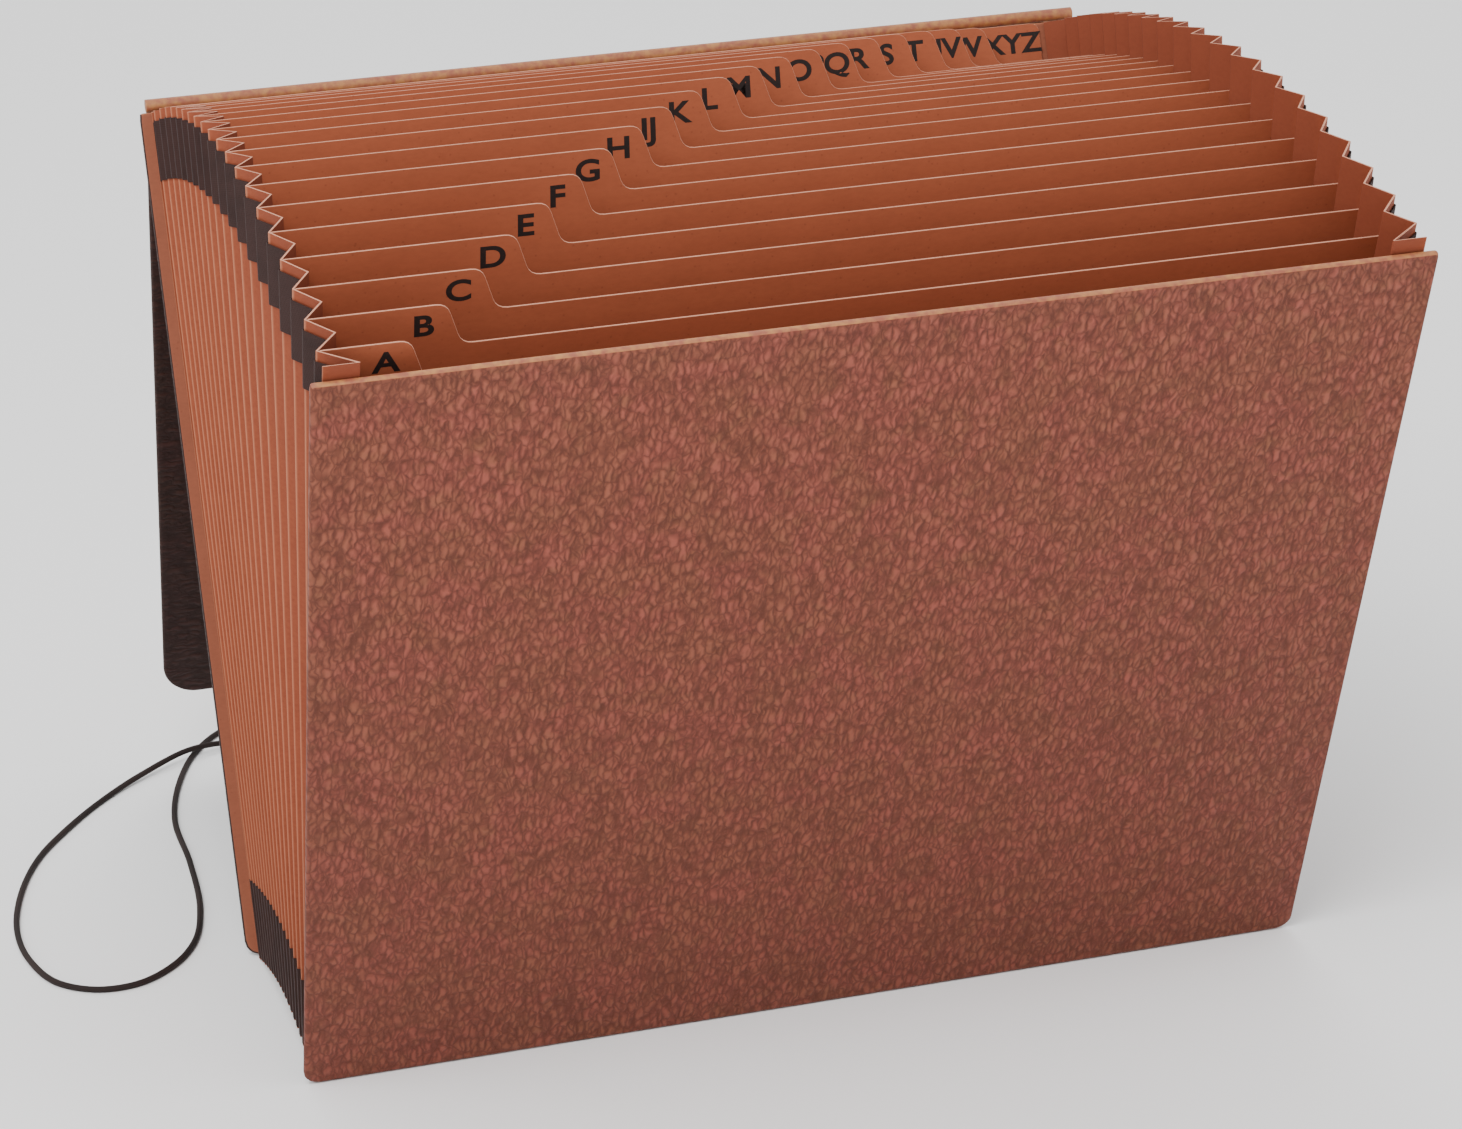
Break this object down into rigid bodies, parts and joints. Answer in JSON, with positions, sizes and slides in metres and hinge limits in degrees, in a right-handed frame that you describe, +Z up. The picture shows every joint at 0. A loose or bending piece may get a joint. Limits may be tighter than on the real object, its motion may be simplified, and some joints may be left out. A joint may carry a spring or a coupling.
{
  "type": "accordion file organizer",
  "caption": "Letter-size expanding file standing fanned open: two boards, pleated side and bottom gussets, stepped index dividers, a hinged flap and an elastic loop.",
  "frame": {"origin": "on the floor under the middle of the file, its elastic left out", "axes": "+Z up, +X to the right of the file seen from its front, +Y towards its back"},
  "size_m": [0.3705, 0.3896, 0.267],
  "materials": {
    "leather": "embossed brown covering over board",
    "card": "matt terracotta card",
    "lining": "matt brown lining paper",
    "tape": "matt black cloth tape",
    "brass": "satin",
    "elastic": "round woven elastic"
  },
  "bodies": {
    "file": {"front_panel": "leather", "front_lining": "lining", "back_panel": "leather", "index_xyz": "card", "eyelet_left": "brass", "eyelet_right": "brass", "gusset_right": "card", "tape_right_top": "tape", "tape_right_base": "tape", "gusset_left": "card", "tape_left_top": "tape", "tape_left_base": "tape", "gusset_bottom": "card", "divider_a": "card", "divider_b": "card", "divider_c": "card", "divider_d": "card", "divider_e": "card", "divider_f": "card", "divider_g": "card", "divider_h": "card", "divider_ij": "card", "divider_k": "card", "divider_l": "card", "divider_m": "card", "divider_n": "card", "divider_o": "card", "divider_pq": "card", "divider_r": "card", "divider_s": "card", "divider_t": "card", "divider_uv": "card", "divider_w": "card", "flap_spine": "leather", "elastic_cord": "elastic"},
    "flap": {"flap": "leather", "flap_lining": "lining"}
  },
  "joints": [
    {"name": "flap_hinge", "type": "hinge", "parent": "file", "child": "flap", "pos_m": [0, 0.09711, 0.24843], "axis": [1, 0, 0], "range_deg": [0, 231]}
  ]
}
